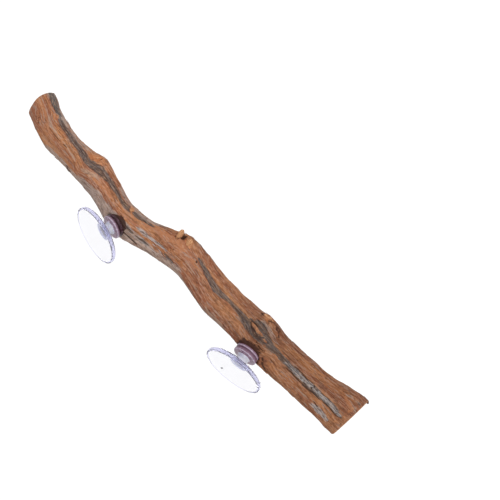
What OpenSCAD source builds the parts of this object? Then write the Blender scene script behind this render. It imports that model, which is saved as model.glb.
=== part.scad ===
// Wall perch for cage birds: one crooked natural branch, held to a pane by
// two soft suction cups that are screwed into drilled seats in the wood.
// +X runs along the branch to its thinner end, +Y to the pane and +Z up.
// The origin is on the pane, in front of the middle of the branch.

/* [Branch] */
// Length of the branch from cut end to cut end
branch_l = 310; // [270:5:350]
// Typical girth of the branch over its bark
branch_d = 24; // [22:0.5:28]
// From the middle line of the branch to the pane
stand_off = 37.6; // [36:0.2:44]
// Depth of the shallow flutes in the bark
flute_depth = 0.5; // [0:0.1:1]
// Flutes around the branch
flute_count = 5; // [3:1:7]
// How far the biggest knots stand out of the wood
knot_rise = 3.2; // [1:0.2:4]
// Edge that is rubbed off around the cut ends
end_round = 0.8; // [0.4:0.1:1.4]
// How far a torn sliver of bark hangs past the flared end's cut
sliver_l = 1.6; // [0.6:0.1:3]
// Width of the sliver
sliver_w = 4.4; // [2:0.2:8]

/* [Twig stubs] */
// Thickness of the longest sawn-off twig
stub_d = 4.4; // [3:0.2:6]
// Length that stands out of the bark
stub_l = 4.6; // [2:0.2:8]

/* [Seats in the wood] */
// Room that the drilled seats leave around the cups' heads
seat_room = 0.8; // [0.4:0.1:2]
// Depth of the upper seat below the bark
upper_seat_depth = 1.2; // [0.4:0.1:3]
// Depth of the lower seat below the bark
lower_seat_depth = 1.8; // [0.4:0.1:3]
// Where the upper seat lies along the branch, as a share from its middle
upper_seat_share = 0.15; // [0.1:0.01:0.2]
// Where the lower seat lies along the branch, as a share from its middle
lower_seat_share = -0.25; // [-0.3:0.01:-0.2]
// Height of the upper seat over the middle line
upper_seat_rise = 0.2; // [-2:0.2:3]
// Height of the lower seat over the middle line
lower_seat_rise = 7; // [3:0.2:8]
// Lean of the upper cup towards the thinner end, in degrees
upper_lean = 8; // [-10:1:10]
// Lean of the lower cup towards the thinner end, in degrees
lower_lean = -8; // [-12:1:10]
// Tip of the upper cup upwards, in degrees
upper_tip = -2; // [-8:1:8]
// Tip of the lower cup upwards, in degrees
lower_tip = -8; // [-9:1:8]

/* [Suction cups] */
// Diameter over the sealing lip
cup_d = 41.5; // [38:0.5:45]
// Height of a whole cup, from its seat to the lip
cup_h = 17.4; // [16:0.2:20]
// Height of the domed disc
disc_h = 8; // [7:0.2:9]
// Depth of the hollow in the disc
hollow_h = 5.8; // [5:0.2:6.2]
// Thickness of the rim
rim_t = 1.1; // [0.8:0.1:1.6]
// Width of the flat sealing lip
lip_w = 1.4; // [1:0.1:2]
// Diameter of the flexible neck
neck_d = 8.6; // [7:0.2:9]
// Diameter of the head that sits on the wood
head_d = 16.8; // [15:0.2:17.6]
// Thickness of the head
head_t = 4.8; // [4.6:0.1:5.6]
// Depth of the groove around the head
groove_depth = 1; // [0.3:0.1:1.6]
// Width of the pull tab at the rim
tab_w = 2.6; // [2:0.2:4]
// Length of the pull tab
tab_l = 2.4; // [1:0.2:4]
// Place of the upper tab around the cup, in degrees
upper_tab_turn = 215; // [0:5:360]
// Place of the lower tab around the cup, in degrees
lower_tab_turn = 220; // [0:5:360]

/* [Screws and washers] */
// Thread diameter of the wood screws
screw_d = 3.5; // [3:0.1:4]
// Length of a screw below its head
screw_l = 16; // [14:1:18]
// Diameter of the pan head
screw_head_d = 6.6; // [6:0.1:7]
// Height of the pan head
screw_head_h = 1.9; // [1.5:0.1:2.2]
// Pitch of the thread
thread_pitch = 1.6; // [1.2:0.1:2]
// Depth of the thread
thread_depth = 0.5; // [0.3:0.05:0.6]
// Outer diameter of the washers
washer_d = 8.4; // [8:0.1:9]
// Thickness of the washers
washer_t = 0.6; // [0.4:0.1:0.8]
// Sheet of PVC that a washer clamps to the wood
floor_t = 1.2; // [1:0.1:1.4]

/* [Hidden] */

bark_colour = "#8a5a3c";
pvc_colour = "#cfc9ee";
steel_colour = "#9a948c";

// Clearances: the head turns just clear of its seat and of the shank, the
// thread bears on its bore and the washer lies loose in its pocket
seat_gap = 0.02;
shank_gap = 0.05;
bore_gap = 0.02;
washer_gap = 0.3;
head_gap = 0.2;
cut_over = 1;

// Course of the branch: place along it as a share of its length, then the
// middle in Y and Z and the half widths in Y and Z as shares of its girth
course_shares = [
    [-0.500, -0.34, -0.06, 0.73, 0.48],
    [-0.470, -0.31, -0.11, 0.68, 0.54],
    [-0.440, -0.24, -0.05, 0.65, 0.46],
    [-0.400, -0.10,  0.05, 0.60, 0.43],
    [-0.350,  0.01,  0.16, 0.58, 0.42],
    [-0.300,  0.10,  0.24, 0.60, 0.40],
    [-0.265,  0.13,  0.27, 0.63, 0.40],
    [-0.235,  0.10,  0.24, 0.63, 0.42],
    [-0.200,  0.05,  0.16, 0.60, 0.42],
    [-0.150,  0.00, -0.02, 0.57, 0.43],
    [-0.110, -0.04, -0.11, 0.58, 0.43],
    [-0.070, -0.07, -0.02, 0.56, 0.41],
    [-0.020, -0.11,  0.06, 0.54, 0.44],
    [ 0.020, -0.11,  0.02, 0.55, 0.45],
    [ 0.060,  0.02, -0.06, 0.47, 0.46],
    [ 0.100,  0.21, -0.13, 0.43, 0.48],
    [ 0.140,  0.33, -0.15, 0.45, 0.53],
    [ 0.180,  0.32, -0.12, 0.44, 0.52],
    [ 0.220,  0.22,  0.01, 0.45, 0.47],
    [ 0.270,  0.13,  0.08, 0.50, 0.45],
    [ 0.320,  0.10,  0.00, 0.47, 0.47],
    [ 0.370,  0.03, -0.15, 0.43, 0.50],
    [ 0.420, -0.07, -0.22, 0.46, 0.53],
    [ 0.460, -0.20, -0.19, 0.48, 0.51],
    [ 0.500, -0.40, -0.16, 0.46, 0.49]
];

// Knots: place along the branch, angle from +Y towards +Z, then the rise as a
// share of knot_rise, the reach along as a share of the girth and the spread
knot_shares = [
    [ 0.415, 250, 0.35, 0.35, 40],
    [ 0.278, 110, 0.95, 0.30, 32],
    [ 0.130, 262, 0.55, 0.36, 36],
    [ 0.020,  96, 0.75, 0.30, 30],
    [-0.112, 262, 0.75, 0.30, 38],
    [-0.232, 112, 0.95, 0.34, 34],
    [-0.300, 300, 0.30, 0.50, 30],
    [-0.468, 180, 0.35, 0.40, 40]
];

// Twig stubs: place along, angle, thickness and length as shares of stub_d and
// stub_l, and the lean along the branch in degrees
stub_shares = [
    [ 0.030, 104, 1.00, 1.00,  10],
    [ 0.006, 100, 0.85, 0.60, -12],
    [ 0.148, 104, 0.55, 0.20,   0],
    [ 0.143, 148, 0.50, 0.35,   0],
    [ 0.113, 117, 0.45, 0.30,  10]
];

// Sweep of the branch
ring_count = 82;
side_count = 28;
flute_turn = 70;
flute_phase = 40;
stub_taper = 0.82;
stub_root_share = 0.3;
// Slant of the cuts: the flared end's falls back towards the pane, the thin
// end's away from it, and both fade out over a stretch of the branch
flared_slant_share = 0.05;
thin_slant_share = 0.05;
slant_reach_share = 0.04;
// Sliver: its angle around the flared end, and its thickness, root, tip and
// inward curl as shares of its width
sliver_turn = 176;
sliver_thick_share = 0.25;
sliver_root_share = 1;
sliver_tip_share = 0.3;
sliver_curl_share = 0.3;

function mix(a, b, t) = a * (1 - t) + b * t;
// Catmull-Rom value between rows b and c, with their neighbours a and d
function spline(a, b, c, d, t) =
    0.5 * (2 * b + (c - a) * t + (2 * a - 5 * b + 4 * c - d) * t * t
        + (3 * b - a - 3 * c + d) * t * t * t);
function last(list) = len(list) - 1;
// Row of the course table that starts the stretch holding a share
function stretch(at, i = 0) =
    i >= last(course_shares) - 1 || course_shares[i + 1][0] > at ? i : stretch(at, i + 1);
function row(i) = course_shares[max(0, min(last(course_shares), i))];
// Middle and half widths at a share along the branch, in real sizes
function course(at) =
    let (
        i = stretch(at),
        t = (at - row(i)[0]) / (row(i + 1)[0] - row(i)[0]),
        v = spline(row(i - 1), row(i), row(i + 1), row(i + 2), t)
    )
    [v[1] * branch_d, v[2] * branch_d, v[3] * branch_d, v[4] * branch_d];

function wrap(a) = a - 360 * round(a / 360);
// Sum of what the knots add to the radius at a share along and an angle
function knots(at, angle) = knot_rise * sum([for (k = knot_shares)
    let (
        along = (at - k[0]) * branch_l / (k[3] * branch_d),
        around = wrap(angle - k[1]) / k[4]
    )
    k[2] * exp(-along * along - around * around)]);
function sum(list, i = 0) = i > last(list) ? 0 : list[i] + sum(list, i + 1);
function flutes(at, angle) =
    -flute_depth / 2 * (1 - cos(flute_count * angle + flute_phase + flute_turn * sin(360 * at)));
// Distance from the middle to the bark at a share along and an angle
function girth(at, angle) =
    let (c = course(at))
    c[2] * c[3] / norm([c[3] * cos(angle), c[2] * sin(angle)])
        + knots(at, angle) + flutes(at, angle);
// How far a slanted cut moves a place along, from its distance to the middle in Y
function slant(at, half, y) =
    max(0, 1 - (0.5 - abs(at)) / slant_reach_share)
        * (at < 0 ? flared_slant_share * (half + y) : -thin_slant_share * (half - y));
function bark_point(at, angle, out = 0) =
    let (c = course(at), r = girth(at, angle) + out, y = r * cos(angle))
    [at * branch_l + slant(at, c[2], y), c[0] + y, c[1] + r * sin(angle)];

// Height of the bark towards the pane over a place along and up
function bark_y(at, rise) =
    let (c = course(at), k = (rise - c[1]) / c[3])
    c[0] + c[2] * sqrt(1 - k * k);
function seat_place(at, rise, depth) = [at * branch_l, bark_y(at, rise) - depth, rise];

// Places in one cup, measured from the wood towards the lip
neck_h = cup_h - disc_h - head_t;
disc_z = cup_h - disc_h;
pocket_h = washer_t + screw_head_h + head_gap;
pocket_r = washer_d / 2 + washer_gap;
neck_waist_share = 0.92;
pan_top_share = 0.6;
dome_swell_share = 0.4;
dome_power = 3;
dome_steps = 12;
tab_inset = 0.15;
ring_edge = 0.5;
tip_l = 3;
thread_free_l = 2.4;
shank_r = screw_d / 2;
recess_w = 1;
recess_l = 3.6;
recess_depth = 1;

module pane_frame() {
    translate([0, -stand_off, 0]) children();
}

// Stands its children on a seat, with their +Z along the cup's axis
module on_seat(at, rise, depth, lean, tip) {
    pane_frame()
        translate(seat_place(at, rise, depth))
            rotate([tip, 0, -lean])
                rotate([-90, 0, 0])
                    children();
}

module on_upper_seat()
    on_seat(upper_seat_share, upper_seat_rise, upper_seat_depth, upper_lean, upper_tip) children();
module on_lower_seat()
    on_seat(lower_seat_share, lower_seat_rise, lower_seat_depth, lower_lean, lower_tip) children();

// Rings of the sweep: place along the branch, and how far out of its bark;
// the first and the last ring stand in for the rubbed edges
function rings() =
    let (edge = end_round / branch_l)
    concat([[-0.5, -end_round]],
        [for (i = [0 : ring_count]) [mix(edge - 0.5, 0.5 - edge, i / ring_count), 0]],
        [[0.5, -end_round]]);

module branch_sweep() {
    stations = rings();
    points = [for (s = stations) for (j = [0 : side_count - 1])
        bark_point(s[0], 360 * j / side_count, s[1])];
    sides = [for (i = [0 : last(stations) - 1]) for (j = [0 : side_count - 1])
        let (k = (j + 1) % side_count, low = i * side_count, high = low + side_count)
        each [[low + j, high + j, high + k], [low + j, high + k, low + k]]];
    start_cap = [[for (j = [0 : side_count - 1]) j]];
    end_cap = [[for (j = [0 : side_count - 1]) last(stations) * side_count + side_count - 1 - j]];
    polyhedron(points, concat(sides, start_cap, end_cap));
}

module twig_stub(stub) {
    d = stub_d * stub[2];
    root = stub_root_share * branch_d;
    full = stub_l * stub[3] + root;
    translate(bark_point(stub[0], stub[1], -root))
        rotate([stub[1] - 90, 0, 0])
            rotate([0, stub[4], 0])
                cylinder(h = full, d1 = d, d2 = d * stub_taper, $fn = 24);
}

// Torn sliver of bark at the flared end's rim, widest where it leaves the wood
module bark_sliver() {
    thick = sliver_w * sliver_thick_share;
    tip = sliver_w * sliver_tip_share;
    translate(bark_point(-0.5, sliver_turn, -end_round / 2))
        rotate([sliver_turn - 90, 0, 0])
            hull() {
                translate([0, -sliver_w / 2, -thick]) cube([sliver_w * sliver_root_share, sliver_w, thick]);
                translate([-sliver_l, -tip / 2, -thick - sliver_w * sliver_curl_share])
                    cube([tip, tip, thick]);
            }
}

// Room for a cup's head and the screw's bore, cut along the cup's axis
module seat_cut() {
    bore_l = screw_l - floor_t - washer_t;
    translate([0, 0, -seat_gap])
        cylinder(h = cup_h + seat_gap, r = head_d / 2 + seat_room, $fn = 64);
    translate([0, 0, -bore_l])
        cylinder(h = bore_l + cut_over, r = shank_r + bore_gap, $fn = 32);
}

module branch() {
    color(bark_colour)
        difference() {
            pane_frame() {
                branch_sweep();
                for (stub = stub_shares) twig_stub(stub);
                bark_sliver();
            }
            on_upper_seat() seat_cut();
            on_lower_seat() seat_cut();
        }
}

// Outer dome, from the neck's root to the edge of the rim: a cone that bulges
// into a steep side wall, in shorter steps where it is steeper
function dome(i) =
    let (t = 1 - pow(1 - i / dome_steps, 2),
         bulge = 1 - pow(1 - pow(t, dome_power), 1 / dome_power))
    [mix(neck_d / 2, cup_d / 2, t),
     disc_z + (disc_h - rim_t) * mix(t, bulge, dome_swell_share)];
// Hollow, a shallow spherical cap
hollow_r = cup_d / 2 - lip_w;
hollow_sphere_r = (hollow_r * hollow_r + hollow_h * hollow_h) / (2 * hollow_h);
function hollow(i) =
    let (r = hollow_r * (1 - i / dome_steps))
    [r, cup_h - hollow_h + hollow_sphere_r - sqrt(hollow_sphere_r * hollow_sphere_r - r * r)];

module cup_disc(tab_turn) {
    color(pvc_colour) {
        rotate_extrude($fn = 96)
            polygon(concat(
                [[0, disc_z]],
                [for (i = [0 : dome_steps]) dome(i)],
                [[cup_d / 2, cup_h]],
                [for (i = [0 : dome_steps]) hollow(i)]
            ));
        rotate([0, 0, tab_turn])
            translate([(cup_d - lip_w) / 2, -tab_w / 2, cup_h - rim_t + tab_inset])
                cube([lip_w / 2 + tab_l, tab_w, rim_t - 2 * tab_inset]);
    }
}

module cup_neck() {
    end_r = neck_d / 2;
    waist_r = end_r * neck_waist_share;
    color(pvc_colour)
        translate([0, 0, head_t])
            rotate_extrude($fn = 64)
                polygon([[0, 0], [end_r, 0], [waist_r, neck_h / 3], [waist_r, 2 * neck_h / 3],
                    [end_r, neck_h], [0, neck_h]]);
}

module cup_head() {
    r = head_d / 2;
    e = ring_edge;
    color(pvc_colour)
        difference() {
            rotate_extrude($fn = 72)
                polygon([[0, 0], [r - e, 0], [r, e], [r, head_t / 2 - e],
                    [r - groove_depth, head_t / 2 - e / 2], [r - groove_depth, head_t / 2 + e / 2],
                    [r, head_t / 2 + e], [r, head_t - e], [r - e, head_t], [0, head_t]]);
            translate([0, 0, floor_t]) cylinder(h = pocket_h, r = pocket_r, $fn = 48);
            translate([0, 0, -cut_over])
                cylinder(h = floor_t + 2 * cut_over, r = shank_r + shank_gap, $fn = 32);
        }
}

module washer() {
    color(steel_colour)
        translate([0, 0, floor_t])
            difference() {
                cylinder(h = washer_t, d = washer_d, $fn = 48);
                translate([0, 0, -cut_over])
                    cylinder(h = washer_t + 2 * cut_over, r = shank_r + shank_gap, $fn = 32);
            }
}

// Pan-head wood screw with a cross recess; the thread is a row of ridges
module screw() {
    under = floor_t + washer_t;
    core_r = shank_r - thread_depth;
    pan_h = screw_head_h / 2;
    ridges = floor((screw_l - under - thread_free_l - tip_l) / thread_pitch);
    first_z = -thread_free_l;
    color(steel_colour)
        difference() {
            union() {
                translate([0, 0, under]) cylinder(h = pan_h, d = screw_head_d, $fn = 48);
                translate([0, 0, under + pan_h])
                    cylinder(h = pan_h, d1 = screw_head_d, d2 = screw_head_d * pan_top_share, $fn = 48);
                translate([0, 0, first_z]) cylinder(h = under - first_z, r = shank_r, $fn = 32);
                rotate_extrude($fn = 32)
                    polygon(concat(
                        [[0, first_z]],
                        [for (i = [0 : ridges - 1]) each [
                            [core_r, first_z - i * thread_pitch],
                            [shank_r, first_z - (i + 0.5) * thread_pitch],
                            [core_r, first_z - (i + 1) * thread_pitch]]],
                        [[0, under - screw_l]]
                    ));
            }
            translate([0, 0, under + screw_head_h - recess_depth])
                for (turn = [0, 90])
                    rotate([0, 0, turn])
                        translate([-recess_l / 2, -recess_w / 2, 0])
                            cube([recess_l, recess_w, recess_depth + cut_over]);
        }
}

branch();
on_upper_seat() cup_disc(upper_tab_turn);  // upper_cup_disc
on_upper_seat() cup_neck();  // upper_cup_neck
on_upper_seat() cup_head();  // upper_cup_head
on_upper_seat() screw();  // upper_screw
on_upper_seat() washer();  // upper_washer
on_lower_seat() cup_disc(lower_tab_turn);  // lower_cup_disc
on_lower_seat() cup_neck();  // lower_cup_neck
on_lower_seat() cup_head();  // lower_cup_head
on_lower_seat() screw();  // lower_screw
on_lower_seat() washer();  // lower_washer
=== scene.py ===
"""A wall perch for cage birds: one crooked natural branch on two suction cups."""

import math

import bpy
import numpy as np
from mathutils import Matrix, Vector, noise


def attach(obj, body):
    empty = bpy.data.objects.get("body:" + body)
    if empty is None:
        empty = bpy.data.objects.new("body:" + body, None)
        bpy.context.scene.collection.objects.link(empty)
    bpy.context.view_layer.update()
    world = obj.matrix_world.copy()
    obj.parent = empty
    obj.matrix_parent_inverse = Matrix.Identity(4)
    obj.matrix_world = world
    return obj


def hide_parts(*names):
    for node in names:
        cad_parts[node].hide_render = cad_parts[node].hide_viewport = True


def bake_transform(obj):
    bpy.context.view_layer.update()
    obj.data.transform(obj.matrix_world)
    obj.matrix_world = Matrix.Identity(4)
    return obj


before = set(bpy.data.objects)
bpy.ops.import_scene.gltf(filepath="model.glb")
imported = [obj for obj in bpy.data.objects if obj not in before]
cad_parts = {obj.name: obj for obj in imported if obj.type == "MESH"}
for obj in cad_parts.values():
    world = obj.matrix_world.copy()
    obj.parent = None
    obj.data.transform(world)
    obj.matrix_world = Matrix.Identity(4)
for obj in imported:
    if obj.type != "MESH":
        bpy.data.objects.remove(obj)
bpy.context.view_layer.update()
MM = 0.001

# Sizes of the branch, the same as in the model's source
LENGTH = 310 * MM
GIRTH = 24 * MM
STAND_OFF = 37.6 * MM
KNOT_RISE = 3.2 * MM
FLUTE_DEPTH = 0.5 * MM
FLUTE_COUNT, FLUTE_PHASE, FLUTE_TURN = 5, 40, 70
FLARED_SLANT, THIN_SLANT, SLANT_REACH = 0.05, 0.05, 0.04
STUB_D, STUB_L = 4.4 * MM, 4.6 * MM
MM_PER_DEGREE = 0.21
GRAIN_RADIUS = 12 * MM

# Place along, middle in Y and Z, half width in Y and Z, as shares
COURSE = np.array((
    (-0.500, -0.34, -0.06, 0.73, 0.48), (-0.470, -0.31, -0.11, 0.68, 0.54),
    (-0.440, -0.24, -0.05, 0.65, 0.46), (-0.400, -0.10, 0.05, 0.60, 0.43),
    (-0.350, 0.01, 0.16, 0.58, 0.42), (-0.300, 0.10, 0.24, 0.60, 0.40),
    (-0.265, 0.13, 0.27, 0.63, 0.40), (-0.235, 0.10, 0.24, 0.63, 0.42),
    (-0.200, 0.05, 0.16, 0.60, 0.42), (-0.150, 0.00, -0.02, 0.57, 0.43),
    (-0.110, -0.04, -0.11, 0.58, 0.43), (-0.070, -0.07, -0.02, 0.56, 0.41),
    (-0.020, -0.11, 0.06, 0.54, 0.44), (0.020, -0.11, 0.02, 0.55, 0.45),
    (0.060, 0.02, -0.06, 0.47, 0.46), (0.100, 0.21, -0.13, 0.43, 0.48),
    (0.140, 0.33, -0.15, 0.45, 0.53), (0.180, 0.32, -0.12, 0.44, 0.52),
    (0.220, 0.22, 0.01, 0.45, 0.47), (0.270, 0.13, 0.08, 0.50, 0.45),
    (0.320, 0.10, 0.00, 0.47, 0.47), (0.370, 0.03, -0.15, 0.43, 0.50),
    (0.420, -0.07, -0.22, 0.46, 0.53), (0.460, -0.20, -0.19, 0.48, 0.51),
    (0.500, -0.40, -0.16, 0.46, 0.49),
))
# Place along, angle from +Y towards +Z, rise, reach and spread
KNOTS = (
    (0.415, 250, 0.35, 0.35, 40), (0.278, 110, 0.95, 0.30, 32),
    (0.130, 262, 0.55, 0.36, 36), (0.020, 96, 0.75, 0.30, 30),
    (-0.112, 262, 0.75, 0.30, 38), (-0.232, 112, 0.95, 0.34, 34),
    (-0.300, 300, 0.30, 0.50, 30), (-0.468, 180, 0.35, 0.40, 40),
)
# Twig stubs: place along, angle, thickness, length, lean along the branch. The first
# two stand a little further along here than the model's source has them.
STUBS = (
    (0.031, 104, 1.00, 1.00, 10), (0.010, 102, 0.85, 0.60, -12),
    (0.148, 104, 0.55, 0.20, 0), (0.143, 148, 0.50, 0.35, 0),
    (0.113, 117, 0.45, 0.30, 10),
)
# Seats of the cups: place along, rise, depth, lean, tip
UPPER_SEAT = (0.15, 0.2 * MM, 1.2 * MM, 8, -2)
LOWER_SEAT = (-0.25, 7.0 * MM, 1.8 * MM, -8, -8)
SEAT_RADIUS, SEAT_GAP = 9.2 * MM, 0.02 * MM

# Marks in the bark: lines of (place along, angle, half width in degrees)
GREY_LINES = (
    ((0.50, 126, 16), (0.46, 122, 15), (0.437, 115, 10)),
    ((0.424, 105, 8), (0.40, 101, 11), (0.37, 98, 11), (0.34, 94, 12), (0.318, 86, 13),
     (0.30, 77, 13), (0.28, 77, 14), (0.262, 84, 16), (0.245, 91, 15), (0.225, 98, 11),
     (0.20, 98, 9), (0.17, 98, 9), (0.145, 98, 7), (0.12, 100, 8), (0.10, 101, 6),
     (0.088, 102, 3)),
    ((-0.035, 98, 6), (-0.05, 92, 11), (-0.075, 84, 12), (-0.10, 78, 14), (-0.125, 79, 11),
     (-0.15, 80, 8), (-0.17, 78, 9), (-0.19, 71, 13), (-0.21, 60, 15), (-0.23, 54, 13),
     (-0.25, 58, 13), (-0.268, 70, 14), (-0.285, 68, 13), (-0.305, 66, 12), (-0.33, 63, 11),
     (-0.385, 59, 13), (-0.43, 53, 10), (-0.465, 49, 7), (-0.482, 44, 3)),
    ((-0.218, 96, 3), (-0.238, 97, 5), (-0.255, 89, 7), (-0.27, 80, 9)),
    ((-0.205, 82, 4), (-0.225, 85, 7), (-0.245, 83, 8), (-0.262, 76, 7)),
    ((0.302, 178, 6), (0.285, 177, 10), (0.25, 177, 11), (0.228, 184, 11), (0.205, 188, 10),
     (0.18, 180, 8)),
    ((0.155, 130, 5), (0.14, 134, 9), (0.12, 130, 6)),
    ((0.10, 212, 4), (0.07, 206, 7), (0.045, 201, 6), (0.02, 203, 3)),
    ((-0.27, 200, 5), (-0.30, 190, 9), (-0.34, 187, 10), (-0.38, 191, 12), (-0.42, 182, 11),
     (-0.46, 170, 8), (-0.485, 170, 3)),
    ((0.36, 300, 6), (0.26, 312, 9), (0.18, 305, 7)),
    ((-0.05, 318, 5), (-0.15, 305, 9), (-0.24, 312, 6)),
    ((0.142, 37, 4), (0.128, 42, 7), (0.112, 38, 4)), ((0.10, 30, 3), (0.085, 25, 6), (0.07, 16, 4)),
    ((0.03, 22, 3), (0.015, 17, 6), (0.0, 12, 4)),
)
SILVER_LINES = (
    ((0.125, 50, 1.5), (0.105, 43, 2.5), (0.085, 34, 1.5)),
    ((0.11, 24, 1.5), (0.08, 14, 2.5), (0.045, 4, 1.5)), ((0.062, 30, 1.5), (0.03, 14, 2)),
    ((-0.318, 60, 4), (-0.345, 61, 8), (-0.372, 61, 9), (-0.392, 62, 8)),
    ((-0.402, 60, 6), (-0.43, 54, 5), (-0.455, 50, 5), (-0.475, 48, 4)),
    ((-0.422, 19, 5), (-0.440, 18, 8), (-0.462, 17, 5)),
    ((0.114, 66, 3), (0.102, 62, 5), (0.09, 57, 6)), ((0.084, 52, 6), (0.066, 46, 6)),
    ((0.06, 44, 6), (0.045, 39, 5), (0.034, 36, 3)),
)
PALE_LINES = (
    ((0.448, 76, 2), (0.432, 70, 4), (0.41, 67, 3), (0.385, 68, 2)),
    ((0.252, 62, 3), (0.268, 51, 6), (0.288, 40, 6)),
    ((0.36, 62, 2), (0.33, 54, 3), (0.315, 46, 2)),
    ((-0.015, 50, 2), (-0.05, 47, 3)),
    ((-0.25, 46, 2), (-0.272, 50, 3), (-0.29, 50, 2)),
    # The second line's paler strands also lighten the branch's shaded side there: painted light
    ((-0.11, 26, 2), (-0.15, 22, 2)), ((-0.12, 8, 4), (-0.15, 2, 7), (-0.18, 2, 4)),
    ((0.0, 206, 4), (-0.05, 203, 6), (-0.09, 200, 7), (-0.12, 197, 6), (-0.145, 200, 3)),
    ((0.23, 215, 6), (0.20, 218, 12), (0.17, 222, 9), (0.14, 226, 8), (0.10, 228, 9)),
    ((-0.17, 190, 3), (-0.20, 186, 4)),
    ((-0.30, 250, 9), (-0.36, 244, 10), (-0.42, 236, 6)),
    ((-0.472, 100, 3), (-0.482, 92, 5), (-0.493, 88, 6)),
    ((-0.345, 66, 2), (-0.37, 66, 3), (-0.39, 66, 2)), ((-0.36, 20, 2), (-0.40, 26, 2)),
    ((0.44, 262, 7), (0.36, 268, 9), (0.30, 262, 5)),
    ((0.05, 285, 8), (-0.02, 292, 10), (-0.08, 288, 6)),
)
WARM_LINES = (
    ((0.50, 90, 4), (0.45, 92, 4), (0.42, 84, 5), (0.40, 80, 7), (0.36, 76, 7),
     (0.33, 68, 7), (0.31, 58, 7), (0.30, 50, 6)),
    ((0.272, 46, 8), (0.255, 56, 10), (0.235, 64, 11), (0.20, 72, 11), (0.17, 76, 9),
     (0.15, 78, 8)),
    ((0.16, 68, 5), (0.13, 62, 5), (0.10, 50, 5), (0.08, 38, 5), (0.05, 26, 5), (0.02, 24, 5)),
    ((0.095, 108, 5), (0.075, 100, 9), (0.055, 86, 13), (0.03, 74, 14), (0.008, 66, 13)),
    ((0.02, 44, 9), (0.0, 38, 10), (-0.02, 34, 8)),
    ((-0.30, 116, 9), (-0.36, 114, 15), (-0.43, 114, 17), (-0.48, 116, 10)),
    ((-0.06, 103, 4), (-0.10, 101, 6), (-0.15, 99, 5), (-0.18, 98, 4)),
    ((-0.03, 70, 6), (-0.08, 62, 6)),
    ((-0.30, 25, 8), (-0.36, 32, 8), (-0.42, 33, 6), (-0.48, 30, 6)),
    ((0.070, 232, 8), (0.040, 235, 15), (0.005, 232, 9)),
    ((0.40, 170, 14), (0.33, 160, 10)), ((-0.02, 175, 12), (-0.16, 172, 10)),
)
ORANGE_LINES = (
    ((0.304, 100, 8), (0.292, 100, 13), (0.278, 103, 13), (0.270, 106, 8)),
    ((0.437, 98, 3), (0.431, 103, 5), (0.425, 99, 4)),
    ((0.150, 114, 3), (0.147, 104, 5), (0.142, 92, 5), (0.137, 87, 4)),
    ((0.013, 100, 6), (0.003, 97, 6)),
    ((-0.224, 150, 6), (-0.226, 134, 10), (-0.229, 118, 7)),
    ((-0.218, 73, 3.5), (-0.225, 74.5, 5), (-0.2305, 73.5, 4)),
    ((-0.2375, 74, 3.5), (-0.2465, 73, 3.5)), ((-0.2565, 66, 3.4), (-0.2650, 66, 3.4)),
    ((-0.237, 149, 4), (-0.243, 146, 4)),
    ((-0.292, 58, 2), (-0.302, 54, 4)),
    ((-0.305, 83, 2), (-0.312, 82, 3)),
    ((0.157, 211, 7), (0.157, 217, 7)),
    ((0.122, 186, 2), (0.115, 172, 4), (0.10, 158, 5), (0.085, 152, 4)),
    ((0.031, 200, 4), (0.029, 195, 4)),
    ((0.350, 150, 5), (0.347, 138, 5)),
    ((0.426, 170, 3), (0.425, 160, 4)),
    ((0.433, 200, 3), (0.428, 194, 3)),
    ((-0.160, 152, 3), (-0.172, 150, 4)),
    ((-0.278, 203, 3), (-0.284, 196, 4)),
    ((-0.345, 186, 3), (-0.355, 183, 4)),
    ((-0.462, 97, 3), (-0.472, 91, 8), (-0.482, 86, 8)), ((-0.486, 76, 5), (-0.489, 66, 5)),
    ((-0.486, 56, 3), (-0.484, 50, 3)),
)
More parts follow.
